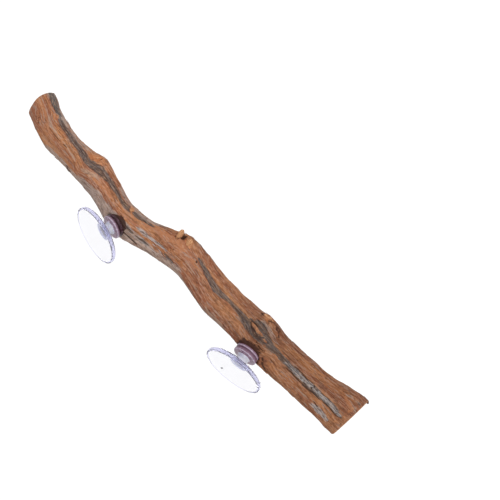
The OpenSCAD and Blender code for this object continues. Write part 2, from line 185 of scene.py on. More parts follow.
DARK_LINES = (
    ((0.478, 50, 0.6), (0.468, 54, 0.6), (0.459, 46, 0.9), (0.457, 34, 0.9), (0.462, 20, 0.6)),
    ((0.000, 152, 2), (-0.03, 153, 2.5), (-0.06, 156, 2), (-0.08, 152, 3), (-0.101, 154, 3)),
    ((0.35, 170, 2), (0.33, 168, 2.5)),
    ((-0.325, 49, 1.0), (-0.345, 48, 2.0), (-0.37, 45, 2.2), (-0.40, 45, 2.2), (-0.44, 43, 1.6),
     (-0.475, 41, 2.0)),
    ((-0.335, 75, 1.2), (-0.36, 74, 1.8), (-0.39, 72, 1.8)),
    ((-0.396, 69, 1.2), (-0.399, 60, 1.6), (-0.397, 53, 1.4)),
    ((-0.270, 100, 1.2), (-0.273, 122, 2.0), (-0.262, 142, 1.4)),
    ((-0.230, 80, 1.2), (-0.222, 83, 2.0), (-0.2145, 78, 2.6), (-0.2125, 72, 2.6),
     (-0.218, 65, 2.4), (-0.230, 65, 1.4)),
    ((-0.254, 70, 1.4), (-0.256, 62, 1.4)),
    ((-0.216, 146, 2), (-0.216, 126, 2.4)),
    ((-0.236, 140, 1.8), (-0.239, 124, 2.4), (-0.231, 112, 1.8)),
    ((-0.252, 136, 1.4), (-0.262, 127, 2.2), (-0.268, 134, 1.4)),
    ((-0.255, 38, 2.0), (-0.268, 38, 2.6), (-0.276, 40, 1.4)),
    ((-0.283, 22, 3), (-0.290, 12, 4.5), (-0.300, 3, 3)),
    ((-0.300, 4, 2), (-0.320, 2, 1.5)),
    ((0.335, -6, 2), (0.322, -8, 3.5), (0.315, -7, 2)),
    # Painted shadow under the first stub's chip, over a real rotted hollow
    ((0.036, 92, 1.6), (0.031, 94, 4), (0.0245, 102, 8), (0.0215, 113, 5)),
    ((-0.034, 82, 2.2), (-0.036, 76, 2.4)),
    ((0.024, 56, 0.6), (0.020, 50, 1.0), (0.021, 40, 1.0), (0.016, 32, 0.6)),
    # Painted shadow under the upper cup's head, along the branch's edge
    ((0.137, 22, 3), (0.12, 12, 4), (0.10, 2, 4), (0.09, -4, 3)),
    ((-0.415, 28, 1.0), (-0.423, 26, 1.6), (-0.430, 25, 1.0)),
    ((0.143, 156, 2.5), (0.146, 140, 2.5)),
    ((0.276, 112, 2), (0.272, 104, 2.5), (0.274, 96, 2)),
    ((0.44, 58, 1.2), (0.38, 59, 1.4), (0.35, 58, 1.0)),
    ((-0.180, 196, 2), (-0.19, 193, 2.5)),
    ((-0.165, 235, 2), (-0.20, 228, 2.5), (-0.22, 230, 1.5)),
    ((0.24, 255, 2), (0.22, 250, 2.5), (0.20, 252, 1.5)),
)
# Bare faces of healed knots
BARE_LINES = (
    ((-0.2225, 131, 6), (-0.2285, 130, 7)), ((-0.2335, 137, 3.5), (-0.238, 139, 3.5)),
    ((0.284, 103, 3), (0.281, 101, 3)),
)
# Peeled smooth wood, paler and with hardly any strands
PEELED_LINES = (
    ((0.105, 90, 5), (0.080, 92, 10), (0.050, 80, 17), (0.015, 70, 19), (-0.015, 64, 15),
     (-0.035, 60, 8)),
    ((0.27, 60, 5), (0.24, 66, 9), (0.20, 70, 7)), ((0.155, 72, 4), (0.12, 68, 6), (0.10, 66, 4)),
)
# Tight bark, with short, faint strands
CALM_LINES = (
    ((0.50, 40, 44), (0.44, 38, 42), (0.38, 30, 34), (0.33, 30, 26), (0.29, 20, 14)),
)
# Each mark with its lines and the softness of its edge in mm
MARKS = (
    ("grey", GREY_LINES, 0.7), ("silver", SILVER_LINES, 0.7), ("pale", PALE_LINES, 0.7),
    ("orange", ORANGE_LINES, 0.7), ("warm", WARM_LINES, 0.7), ("peeled", PEELED_LINES, 2.0),
    ("bare", BARE_LINES, 0.6), ("dark", DARK_LINES, 0.5),
)
# How light the bark is along the branch
TONE = ((-0.5, 0.84), (-0.42, 0.82), (-0.24, 0.79), (-0.20, 0.90), (-0.16, 1.00), (-0.05, 1.03),
        (0.1, 1.03), (0.15, 1.08), (0.42, 1.09), (0.5, 1.06))
# The grey, weathered side towards the pane reaches up to this angle
WEATHERED_EDGE = (
    (-0.5, -30), (-0.22, -12), (-0.15, -4), (-0.10, -8), (-0.045, 4), (-0.03, 8),
    (-0.015, 24), (0.0, 18), (0.03, 10),
    (0.05, 14), (0.07, 24), (0.09, 34), (0.11, 46), (0.13, 57), (0.16, 58), (0.19, 53),
    (0.22, 44), (0.25, 28), (0.28, 12), (0.31, 2), (0.35, 8), (0.39, 2), (0.43, -20),
    (0.5, -30),
)
# Greyer stretches along the crown of the branch
CROWN_LINES = (
    ((0.50, 130, 22), (0.44, 128, 20), (0.38, 122, 16), (0.32, 116, 12)),
    ((0.20, 122, 14), (0.14, 122, 18), (0.08, 128, 12)),
    ((0.01, 140, 10), (-0.02, 144, 9), (-0.05, 150, 6)),
    ((-0.225, 104, 6), (-0.25, 106, 8), (-0.28, 96, 8)),
    ((-0.46, 116, 6), (-0.49, 118, 7)),
)
# How the grain winds around the branch on its way along it
GRAIN_TURN = (
    (-0.5, -76), (-0.40, -62), (-0.30, -58), (-0.24, -68), (-0.20, -60), (-0.12, -50),
    (-0.06, -44), (0.0, -36), (0.05, -24), (0.09, -10), (0.13, -2), (0.18, 0), (0.22, -3),
    (0.26, -12), (0.29, -24), (0.32, -8), (0.36, 0), (0.42, 4), (0.5, 8),
)
# Eyes of old twigs: place along, angle, radius and rise of the collar in mm
EYES = (
    (0.284, 104, 2.2, 0.5), (-0.226, 132, 3.2, 0.9), (-0.236, 74, 3.0, 0.5),
    (-0.263, 66, 1.4, 0.4), (0.413, 144, 1.9, 0.6), (0.145, 150, 2.6, 0.5),
    (0.157, 214, 2.6, 0.2), (0.030, 197, 1.4, 0.6), (-0.0355, 75, 1.0, 0.4),
    (0.430, 101, 2.2, 0.4), (0.466, 38, 3.4, 0.35), (0.022, 100, 5.0, 0.7),
    (-0.259, 131, 2.2, 0.6), (-0.04, 140, 1.0, 0.9), (-0.066, 262, 1.0, 1.1), (0.322, -8, 1.8, 0.9),
    (0.368, -20, 1.4, 0.7), (-0.350, 184, 1.8, 0.4), (-0.281, 199, 1.6, 0.4),
    (0.345, 142, 2.4, 0.4), (-0.302, 0, 1.6, 0.9), (-0.290, 10, 2.2, 0.8),
)
# Slow swellings: place along, angle, reach along in mm, reach around in degrees, rise in mm
SWELLINGS = (
    (0.50, -20, 7, 35, 1.0), (0.475, 135, 6, 30, 0.9), (0.40, -40, 8, 30, 0.9),
    (0.345, 125, 7, 28, -0.7), (0.255, 128, 7, 28, 1.2), (0.205, 124, 10, 28, 0.8),
    (0.085, -15, 15, 26, 1.1), (0.03, -25, 11, 26, 1.2), (0.03, 118, 6, 26, 0.6),
    (-0.005, 125, 8, 28, 1.0), (-0.05, 140, 9, 28, 0.5), (-0.12, 140, 9, 28, 1.0),
    (-0.13, -35, 8, 26, 0.6), (-0.20, 140, 7, 26, -0.5), (-0.258, 142, 7, 26, 1.1),
    (-0.36, 142, 10, 26, 0.4), (-0.43, 140, 7, 26, -0.6),
)
# Rotted hollows: place along, angle, radius and depth in mm
PITS = ((0.0235, 102, 1.5, 2.6), (0.025, 111, 1.1, 1.8), (0.262, 110, 0.8, 0.6),
        (-0.2255, 132, 0.8, 0.7), (-0.257, 36, 1.0, 0.5), (-0.0355, 77, 0.5, 0.6))

# Colours
RED_BROWN = "#985d42"
ORANGE_BROWN = "#be8158"
DEEP_BROWN = "#633c2a"
TAN_FIBRE = "#cb976f"
WARM = "#c98450"
GRIT_DARK = "#44302a"
GRIT_LIGHT = "#cda685"
WEATHERED = "#b8aca2"
WEATHERED_DARK = "#6e6662"
FLUTE_GREY = "#5f5f5e"
FLUTE_DARK = "#3a3837"
SILVER = "#c6bfbb"
SILVER_DARK = "#766e6a"
PALE = "#b79f8b"
PEELED = "#b67b5a"
ORANGE = "#bf7549"
ORANGE_LIGHT = "#d58f60"
# Also paints the shade under the twig stubs and under the upper cup's head
CRACK_AND_SHADE = "#35231c"
# Dark ring round the seats, partly stain and partly painted shade
STAIN_AND_SHADE = "#4b2a27"
CUT_WOOD = "#dda97f"
CUT_RING = "#b47b50"
CLEAR_PVC = "#fcfcfe"
VIOLET_PVC = "#cfcdf0"
VIOLET_DEPTH = (0.10, 0.10, 0.62, 1.0)
NECK_PVC = "#f4f6ff"
NECK_SHADE = "#e4e8fe"
HEAD_PALE = "#dccfe2"
HEAD_PINK = "#926f84"
RESIN_AND_SHADE = "#41222a"
FLECK = "#26242a"
ZINC = "#b4b2ac"
ZINC_DUST = "#857f76"
FLOOR_GREY = (0.45, 0.45, 0.45, 1)
WHITE = (1, 1, 1, 1)

# Camera, as in the left picture
CAMERA_PLACE = Vector((-0.11783, 0.22663, 0.48937))
CAMERA_RIGHT = Vector((-0.69907, -0.65730, 0.28153))
CAMERA_BACK = Vector((-0.15804, 0.52602, 0.83566))
CAMERA_LENS, SENSOR_WIDTH = 60.118, 36


def srgb(code):
    """A web colour as linear RGBA"""
    values = [int(code[i:i + 2], 16) / 255 for i in (1, 3, 5)]
    return tuple(v / 12.92 if v <= 0.04045 else ((v + 0.055) / 1.055) ** 2.4
                 for v in values) + (1.0,)


def make_camera():
    data = bpy.data.cameras.new("camera")
    data.sensor_width, data.lens = SENSOR_WIDTH, CAMERA_LENS
    data.clip_start, data.clip_end = 0.01, 50
    camera = bpy.data.objects.new("camera", data)
    bpy.context.scene.collection.objects.link(camera)
    back = CAMERA_BACK.normalized()
    up = back.cross(CAMERA_RIGHT).normalized()
    camera.matrix_world = Matrix.Translation(CAMERA_PLACE) @ Matrix(
        (up.cross(back), up, back)).transposed().to_4x4()
    bpy.context.scene.camera = camera


# Shape of the branch
def course(at):
    """Middle in Y and Z and half widths in Y and Z at shares along the branch"""
    last = len(COURSE) - 1
    i = np.clip(np.searchsorted(COURSE[:, 0], at, side="right") - 1, 0, last - 1)
    t = ((at - COURSE[i, 0]) / (COURSE[i + 1, 0] - COURSE[i, 0]))[..., None]
    a, b, c, d = (COURSE[np.clip(i + k, 0, last), 1:] for k in (-1, 0, 1, 2))
    value = 0.5 * (2 * b + (c - a) * t + (2 * a - 5 * b + 4 * c - d) * t ** 2
                   + (3 * b - a - 3 * c + d) * t ** 3)
    return np.moveaxis(value * GIRTH, -1, 0)


def wrap(angle):
    """The same angle from -180 up to 180 degrees"""
    return (np.asarray(angle) + 180) % 360 - 180


def smooth(value):
    """An even rise from 0 to 1 with soft ends"""
    value = np.clip(value, 0, 1)
    return value * value * (3 - 2 * value)


def girth(at, angle):
    """Distance from the middle of the branch to its bark"""
    _, _, half_y, half_z = course(at)
    turn = np.radians(angle)
    out = half_y * half_z / np.hypot(half_z * np.cos(turn), half_y * np.sin(turn))
    for place, side, rise, reach, spread in KNOTS:
        along = (at - place) * LENGTH / (reach * GIRTH)
        around = wrap(angle - side) / spread
        out = out + KNOT_RISE * rise * np.exp(-along ** 2 - around ** 2)
    wave = FLUTE_COUNT * angle + FLUTE_PHASE + FLUTE_TURN * np.sin(2 * np.pi * at)
    return out - FLUTE_DEPTH / 2 * (1 - np.cos(np.radians(wave)))


def bark_point(at, angle, out=0.0):
    """A place on the bark, or out from it, in the row frame"""
    at, angle = np.broadcast_arrays(np.asarray(at, float), np.asarray(angle, float))
    mid_y, mid_z, half_y, _ = course(at)
    radius = girth(at, angle) + out
    turn = np.radians(angle)
    y = radius * np.cos(turn)
    fade = np.maximum(0, 1 - (0.5 - np.abs(at)) / SLANT_REACH)
    slant = np.where(at < 0, FLARED_SLANT * (half_y + y), -THIN_SLANT * (half_y - y))
    return np.stack((at * LENGTH + fade * slant, mid_y + y - STAND_OFF,
                     mid_z + radius * np.sin(turn)), -1)


def seat_matrix(seat):
    """The frame of a cup: its origin on the seat's floor and +Z along its axis"""
    at, rise, depth, lean, tip = seat
    mid_y, mid_z, half_y, half_z = course(np.array([at]))[:, 0]
    bark = mid_y + half_y * math.sqrt(1 - ((rise - mid_z) / half_z) ** 2)
    turn = (Matrix.Rotation(math.radians(-lean), 4, "Z")
            @ Matrix.Rotation(math.radians(tip), 4, "X")
            @ Matrix.Rotation(math.radians(-90), 4, "X"))
    return Matrix.Translation((at * LENGTH, bark - depth - STAND_OFF, rise)) @ turn


def cloud(points, scale, seed):
    """Smooth noise, about -1 to 1, at many places"""
    points = points * np.asarray(scale) + np.array((17.3, -9.1, 4.7)) * seed
    return 1.6 * np.array([noise.noise(p) for p in points.reshape(-1, 3)]).reshape(
        points.shape[:-1])


def cover(at, angle, lines, soft):
    """How much of each place the lines of a mark cover"""
    found = np.zeros_like(at)
    for line in lines:
        for (at0, side0, wide0), (at1, side1, wide1) in zip(line, line[1:]):
            along = (at - at0) * LENGTH / MM
            around = wrap(angle - side0) * MM_PER_DEGREE
            step = (at1 - at0) * LENGTH / MM, (side1 - side0) * MM_PER_DEGREE
            t = np.clip((along * step[0] + around * step[1]) / (step[0] ** 2 + step[1] ** 2),
                        0, 1)
            off = np.hypot(along - t * step[0], around - t * step[1])
            half = (wide0 + (wide1 - wide0) * t) * MM_PER_DEGREE
            found = np.maximum(found, smooth((half - off) / soft + 0.5))
    return found


def straight_grain(at, angle):
    """The branch's wood as if it were a straight round stick, for its fibres to follow"""
    turned = angle - np.interp(at, *zip(*GRAIN_TURN))
    for place, side, radius, _ in EYES:
        along = (at - place) * LENGTH / MM
        around = wrap(angle - side)
        near = np.exp(-(along ** 2 + (around * MM_PER_DEGREE) ** 2) / (2.4 * radius) ** 2)
        turned = turned - 0.7 * around * near
    turn = np.radians(turned)
    return np.stack((at * LENGTH, GRAIN_RADIUS * np.cos(turn), GRAIN_RADIUS * np.sin(turn)), -1)


def mesh_object(name, points, faces, smooth_faces=True):
    mesh = bpy.data.meshes.new(name)
    mesh.from_pydata([tuple(p) for p in points], [], faces)
    mesh.polygons.foreach_set("use_smooth", [smooth_faces] * len(mesh.polygons))
    mesh.update()
    thing = bpy.data.objects.new(name, mesh)
    bpy.context.scene.collection.objects.link(thing)
    return thing


def paint(thing, **fields):
    """Keeps fields that were worked out in code as point attributes"""
    for name, values in fields.items():
        values = np.asarray(values, np.float32)
        kind = "FLOAT_VECTOR" if values.ndim == 2 else "FLOAT"
        layer = thing.data.attributes.new(name, kind, "POINT")
        layer.data.foreach_set("vector" if values.ndim == 2 else "value", values.ravel())


def paint_bark(thing, **fields):
    """Paints all that the bark material reads, with no mark where none is given"""
    plain = {name: np.zeros(len(thing.data.vertices)) for name in (
        "cut", "grey", "silver", "pale", "orange", "warm", "weathered", "dark", "peeled",
        "calm", "stain")}
    paint(thing, **{**plain, "tone": plain["cut"] + 1, **fields})


RINGS, SIDES, CAP_RINGS = 520, 150, 26
# Relief of the bark itself: fineness along and across, seed, height in mm
STRAND_RELIEF = ((50, 620, 620), 3, 0.13)
FINE_RELIEF = ((110, 1500, 1500), 4, 0.10)
CRUMB_RELIEF = ((330, 900, 900), 10, 0.10)
LUMP_RELIEF = ((85, 150, 150), 6, 0.20)
# How far each mark stands out of the bark or, below 0, lies in it, in mm
MARK_RISE = {"grey": -0.42, "silver": -0.25, "dark": -0.75, "orange": 0.12, "pale": -0.06}


def from_spot(at, angle, place, side):
    """Distance over the bark from a spot, in mm"""
    return np.hypot((at - place) * LENGTH / MM, wrap(angle - side) * MM_PER_DEGREE)


def bark_fields(at, angle):
    """Marks, grain and relief of the bark at shares along and angles"""
    grain = straight_grain(at, angle)
    wander = cloud(grain, (110, 420, 420), 1)
    ragged = cloud(grain, (260, 900, 900), 2)
    at_here = at + (1.6 * wander + 0.8 * ragged) * MM / LENGTH
    angle_here = angle + 2.6 * wander + 1.6 * ragged
    marks = {name: cover(at_here, angle_here, lines, soft) for name, lines, soft in MARKS}
    marks["calm"] = np.maximum(0.9 * cover(at_here, angle_here, CALM_LINES, 4.0),
                               marks["peeled"])
    marks["tone"] = np.interp(at, *zip(*TONE))
    edge = np.interp(at_here, *zip(*WEATHERED_EDGE))
    marks["weathered"] = smooth((edge - wrap(angle_here)) / 10 + 0.5) * smooth(
        (wrap(angle_here) + 75) / 16)
    patches = smooth(2.4 * cloud(grain, (22, 90, 90), 5) - 0.1)
    behind = smooth((np.abs(wrap(angle_here - 270)) - 85) / -12)
    crown = cover(at_here, angle_here, CROWN_LINES, 1.6)
    marks["weathered"] = np.maximum(marks["weathered"], np.maximum(
        0.6 * patches * behind, crown * (0.6 + 0.4 * patches)))
    strand, fine, crumb, lump = (height * cloud(grain, scale, seed) for scale, seed, height in (
        STRAND_RELIEF, FINE_RELIEF, CRUMB_RELIEF, LUMP_RELIEF))
    relief = (strand + fine + crumb) * (1 - 0.6 * marks["calm"]) + lump
    for name, rise in MARK_RISE.items():
        relief = relief + rise * marks[name]
    for place, side, radius, rise in EYES:
        away = from_spot(at, angle, place, side) / radius
        relief = relief + rise * (np.exp(-away ** 2) - 0.8 * np.exp(-(2.6 * away) ** 2))
    for place, side, radius, depth in PITS:
        away = from_spot(at, angle, place, side) / radius
        relief = relief - depth * np.exp(-away ** 4)
    return grain, marks, relief * MM


def swelling(at, angle):
    """How far the slow swellings lift the bark"""
    out = np.zeros_like(at)
    for place, side, reach, spread, rise in SWELLINGS:
        along = (at - place) * LENGTH / MM / reach
        out += rise * MM * np.exp(-along ** 2 - (wrap(angle - side) / spread) ** 2)
    return out


# Dark rings round the seats, partly stained wood and partly painted shade in the gap round
# each head: seat, radius, raggedness and softness of the edge in mm
SEAT_STAINS_AND_SHADE = ((UPPER_SEAT, 7.2, 0.3, 0.6), (LOWER_SEAT, 9.0, 1.0, 2.6))
# Heights over a seat's floor between which bark is cut away or stained
SEAT_OVER, SEAT_UNDER = 20 * MM, 4 * MM


def sink_seats(points, grain):
    """Cuts the two seats into the bark and says how much of each place their dark ring of stain and
    painted shade covers
    """
    stain = np.zeros(len(points))
    for seat, reach, spread, soft in SEAT_STAINS_AND_SHADE:
        to_cup = np.array(seat_matrix(seat).inverted())
        local = points @ to_cup[:3, :3].T + to_cup[:3, 3]
        away = np.hypot(local[:, 0], local[:, 1])
        height = local[:, 2]
        inside = (away < SEAT_RADIUS) & (height > -SEAT_GAP) & (height < SEAT_OVER)
        height[inside] = -SEAT_GAP
        near = (height > -SEAT_UNDER) & (height < SEAT_OVER)
        rough = cloud(grain, (160, 420, 420), 7)
        reach = (reach + spread * rough) * MM
        stain = np.maximum(stain, near * smooth((reach - away) / (soft * MM) + 0.5))
        back = np.linalg.inv(to_cup)
        points[inside] = local[inside] @ back[:3, :3].T + back[:3, 3]
    return stain


# Where the pith lies from the middle of a sawn end, and how deep the saw's marks are
PITH_OFF = np.array((0, 1.5 * MM, -1.0 * MM))
SAW_MARK = 0.09 * MM
# How far the bark's rim is worn back at a sawn end
RIM_WEAR = 0.8 * MM
# A fibre doesn't start nearer to an end than this, in mm
BARE_END = 6.0


def saw_cut(rim, rim_grain, sign):
    """Points and grain of a sawn end, from just inside its rim to the pith"""
    pith = rim.mean(0) + PITH_OFF
    share = np.linspace(1, 0, CAP_RINGS + 1)[1:-1, None, None]
    disc = pith + (rim - pith) * share
    middle = np.array((sign * LENGTH / 2, 0, 0))
    disc_grain = middle + (rim_grain - np.array((rim_grain[0, 0], 0, 0))) * share
    saw = cloud(disc * (0, 1, 1), (1, 260, 1500), 8) + 0.5 * cloud(disc, (1, 900, 900), 9)
    disc[..., 0] += saw * SAW_MARK * np.minimum(1, 6 * (1 - share[..., 0]))
    return (np.concatenate((disc.reshape(-1, 3), pith[None])),
            np.concatenate((disc_grain.reshape(-1, 3), middle[None])))


def make_branch():
    """The stick with its bark, its two sawn ends and the seats of the cups"""
    at = np.linspace(-0.5, 0.5, RINGS)[:, None] + np.zeros((1, SIDES))
    angle = np.zeros((RINGS, 1)) + np.arange(SIDES)[None, :] * 360 / SIDES
    grain, marks, relief = bark_fields(at, angle)
    from_end = (0.5 - np.abs(at)) * LENGTH / MM
    relief = relief * smooth(from_end / 1.2 + 0.4) - RIM_WEAR * (1 - smooth(from_end)) ** 2
    points = bark_point(at, angle, relief + swelling(at, angle))
    count = RINGS * SIDES
    index = np.arange(count).reshape(RINGS, SIDES)
    nxt = np.roll(index, -1, 1)
    faces = np.stack((index[:-1], index[1:], nxt[1:], nxt[:-1]), -1).reshape(-1, 4).tolist()
    bare = marks.pop("bare")
    fields = {name: value.ravel() for name, value in marks.items()}
    fields["cut"] = np.maximum(smooth(1 - from_end / 0.9) * 0.7, bare).ravel()
    fields["near_end"] = (from_end < BARE_END).ravel().astype(float)
    all_points, all_grain = [points.reshape(-1, 3)], [grain.reshape(-1, 3)]
    for ring, sign in ((0, -1), (RINGS - 1, 1)):
        disc, disc_grain = saw_cut(points[ring], grain[ring], sign)
        centre = count + len(disc) - 1
        rows = np.concatenate((index[ring][None], np.arange(count, centre).reshape(-1, SIDES)))
        turned = np.roll(rows, -1, 1)
        quads = np.stack((rows[:-1], turned[:-1], turned[1:], rows[1:]), -1).reshape(-1, 4)
        fan = np.stack((rows[-1], turned[-1], np.full(SIDES, centre)), -1)
        if sign > 0:
            quads, fan = quads[:, ::-1], fan[:, ::-1]
        faces += quads.tolist() + fan.tolist()
        all_points.append(disc)
        all_grain.append(disc_grain)
        for name, values in fields.items():
            sawn = np.full(len(disc), float(name in ("cut", "near_end", "tone")))
            fields[name] = np.concatenate((values, sawn))
        count = centre + 1
    all_points, all_grain = np.concatenate(all_points), np.concatenate(all_grain)
    fields["stain"] = sink_seats(all_points, all_grain) * (1 - fields["cut"])
    branch = mesh_object("branch_wood", all_points, faces)
    paint(branch, grain=all_grain, **fields)
    return branch


# Twig stubs: how much wider each stub is along and around the branch, how much of its
# height is left, how much of it is peeled, how grey it is, and its painted shade underneath
STUB_SHAPES = (
    (0.72, 1.38, 0.95, 0.80, 0.1, 1.0), (1.15, 1.20, 1.05, 0.95, 0.0, 0.6),
    (1.0, 1.2, 0.8, 0.35, 0.0, 0.0), (0.8, 0.9, 0.1, 0.0, 0.6, 0.0),
    (0.7, 0.8, 0.7, 0.0, 0.9, 0.0),
)
STUB_ROOT, STUB_SIDES, STUB_ROWS = 3.0 * MM, 36, 16
# Steps of a cut face from its rim to its middle
FACE_STEPS = (0.75, 0.5, 0.25, 0.0)
# The grain of a stub is taken from this far beside the pith
STUB_GRAIN_OFF = 8 * MM


def make_stubs():
    """Sawn-off twigs with a swollen foot and a pale, slightly tilted cut face"""
    points, faces = [], []
    fields = {name: [] for name in ("grain", "cut", "orange", "weathered", "dark")}

    def add(point, **values):
        points.append(point)
        for name, value in values.items():
            fields[name].append(value)

    for number, ((at, angle, wide, tall, lean), (fat_x, fat_y, left, peeled, aged, shade)) in (
            enumerate(zip(STUBS, STUB_SHAPES))):
        radius, total = STUB_D * wide / 2, STUB_L * tall * left + STUB_ROOT
        foot = Vector(bark_point(at, angle, -STUB_ROOT))
        out = Matrix.Rotation(math.radians(angle - 90), 3, "X") @ (
            Matrix.Rotation(math.radians(lean), 3, "Y"))
        finish = {"orange": 0.6 * (peeled > 0.2), "weathered": aged}
        start = len(points)
        for row in range(STUB_ROWS + 1):
            share = row / STUB_ROWS
            height = total * share
            swell = 1 + 0.45 * math.exp(-((height - 2.4 * MM) / (1.4 * MM)) ** 2)
            edge = 1 - 0.22 * (max(0, share - 0.86) / 0.14) ** 2
            for side in range(STUB_SIDES):
                turn = 2 * math.pi * side / STUB_SIDES
                knobbly = 1 + 0.22 * noise.noise((math.cos(turn) * 1.3 + 9 * number,
                                                  math.sin(turn) * 1.3, height / MM * 0.45))
                r = radius * (1 - 0.12 * share) * swell * edge * knobbly
                tilt = 0.30 * radius * math.cos(turn + number) * share ** 2
                spot = Vector((fat_x * r * math.cos(turn), fat_y * r * math.sin(turn),
                               height + tilt))
                ragged = noise.noise((math.cos(turn) * 1.1, math.sin(turn) * 1.1, 3.1 * number))
                # The side of a stub towards the flared end, below its cut face, is darkened through
                # the dark mark as painted shade
                add(foot + out @ spot,
                    cut=float(smooth((share - (1 - 0.62 * peeled) + 0.18 * ragged) / 0.10)),
                    dark=shade * float(smooth((-0.15 - math.cos(turn)) / 0.3)
                                       * smooth((0.86 - share) / 0.1)),
                    grain=(height * 2 + number * 0.05, spot.x * 1.8 + STUB_GRAIN_OFF,
                           spot.y * 1.8), **finish)
        for row in range(STUB_ROWS):
            for side in range(STUB_SIDES):
                a = start + row * STUB_SIDES + side
                b = start + row * STUB_SIDES + (side + 1) % STUB_SIDES
                faces.append((a, b, b + STUB_SIDES, a + STUB_SIDES))
        below = rim = start + STUB_ROWS * STUB_SIDES
        middle = sum((points[rim + k] for k in range(STUB_SIDES)), Vector()) / STUB_SIDES
        for step in FACE_STEPS:
            ring = len(points)
            hollow = out @ Vector((0, 0, 0.16 * radius * (1 - step)))
            for side in range(STUB_SIDES if step else 1):
                point = middle.lerp(points[rim + side], step) - hollow
                spot = point - middle
                add(point, cut=0.2 + 0.8 * (peeled > 0.5), dark=0.0,
                    grain=(0.3 + number * 0.05, spot.dot(out.col[0]) + STUB_GRAIN_OFF,
                           spot.dot(out.col[1])), **finish)
            for side in range(STUB_SIDES):
                n = (side + 1) % STUB_SIDES
                faces.append((below + side, below + n, ring + n, ring + side) if step
                             else (below + side, below + n, ring))
            below = ring
        faces.append(tuple(start + side for side in reversed(range(STUB_SIDES))))
    stubs = mesh_object("twig_stubs", points, faces)
    paint_bark(stubs, **{name: np.array(values) for name, values in fields.items()})
    return stubs


# Torn sliver of bark at the flared end's rim
SLIVER_L, SLIVER_W, SLIVER_TURN = 1.6 * MM, 4.4 * MM, 176
SLIVER_ROWS, SLIVER_COLUMNS = 14, 10
SLIVER_ROOT, SLIVER_SUNK = 4.0 * MM, 0.4 * MM


def make_sliver():
    """A curled flake, widest where it leaves the wood"""
    rows, columns, root = SLIVER_ROWS, SLIVER_COLUMNS, SLIVER_ROOT
    thick = 0.24 * SLIVER_W
    foot = Vector(bark_point(-0.5, SLIVER_TURN, -SLIVER_SUNK))
    out = Matrix.Rotation(math.radians(SLIVER_TURN - 90), 3, "X")
    points, faces = [], []
    for skin in (0, 1):
        for i in range(rows + 1):
            along = root - (root + 0.86 * SLIVER_L) * i / rows
            past = max(0, -along) / SLIVER_L
            half = SLIVER_W / 2 * (0.92 - 0.55 * past ** 0.8)
            body = thick * (1 - 0.55 * past) * smooth((rows - i) / 1.5)
            curl = -0.28 * SLIVER_W * past ** 1.5
            for j in range(columns + 1):
                side = 2 * j / columns - 1
                rough = 0.14 * MM * noise.noise((along / MM, 2.2 * side, 5.0 + skin))
                rim = math.sqrt(max(0, 1 - side ** 4))
                lift = curl - (body * rim if skin else 0) - 0.12 * thick * side * side
                points.append(foot + out @ Vector((along + 0.25 * MM * math.sin(5 * side) * past,
                                                   half * side, lift + rough * rim)))
    sheet = (rows + 1) * (columns + 1)
    for i in range(rows):
        for j in range(columns):
            a = i * (columns + 1) + j
            b, c, d = a + columns + 1, a + columns + 2, a + 1
            faces += [(a, b, c, d), (a + sheet, d + sheet, c + sheet, b + sheet)]
    border = ([(0, j) for j in range(columns)] + [(i, columns) for i in range(rows)]
              + [(rows, j) for j in range(columns, 0, -1)] + [(i, 0) for i in range(rows, 0, -1)])
    ids = [i * (columns + 1) + j for i, j in border]
    faces += [(a, b, b + sheet, a + sheet) for a, b in zip(ids, ids[1:] + ids[:1])]
    sliver = mesh_object("bark_sliver", points, faces)
    co = np.array([tuple(p) for p in points])
    past = np.clip(-(co[:, 0] + LENGTH / 2) / SLIVER_L, 0, 1)
    inner = np.repeat((0.0, 1.0), sheet)
    # The flake is darkened through the seats' dark mark: painted shade on its underside, and darker
    # still past the rim
    paint_bark(sliver, grain=co, dark=np.full(len(points), 0.15),
               tone=np.full(len(points), TONE[0][1]),
               stain=np.clip(0.3 * inner + 0.5 * past, 0, 1))
    return sliver


# Suction cups: one soft moulding each, turned about its axis, in mm
CUP_R, CUP_H, DISC_H, HOLLOW_H = 20.75, 17.4, 8.0, 5.8
RIM_T, LIP_W, NECK_R, HEAD_R, HEAD_T = 1.1, 1.4, 4.3, 8.4, 4.8
POCKET_R, FLOOR_T, POCKET_TOP, SHANK_R = 4.5, 1.2, 3.9, 1.8
GROOVE_DEPTH = 1.0
DOME_SWELL, DOME_POWER = 0.4, 3
TAB_W, TAB_L = 2.6, 2.4
# The disc turns violet from this radius on, and faces below this height are the neck's
VIOLET_FROM, NECK_TOP = 17.6, 10.0
# A slow wave in the disc: its height at the rim, how often it rises and where it starts
WAVE_H, WAVE_COUNT, WAVE_PHASE = 0.05, 3, 40
CUP_SIDES, DOME_STEPS, HOLLOW_STEPS = 160, 28, 24


def rounded(corners, steps=5):
    """A line of (radius, height, rounding) corners with its corners rounded"""
    line = []
    for i, (r, z, size) in enumerate(corners):
        here = np.array((r, z))
        if size <= 0 or i in (0, len(corners) - 1):
            line.append(here)
            continue
        before, after = (np.array(corners[k][:2]) - here for k in (i - 1, i + 1))
        cut = min(size, 0.45 * np.linalg.norm(before), 0.45 * np.linalg.norm(after))
        a = here + before / np.linalg.norm(before) * cut
        b = here + after / np.linalg.norm(after) * cut
        for t in np.linspace(0, 1, steps):
            line.append((1 - t) ** 2 * a + 2 * t * (1 - t) * here + t * t * b)
    return line


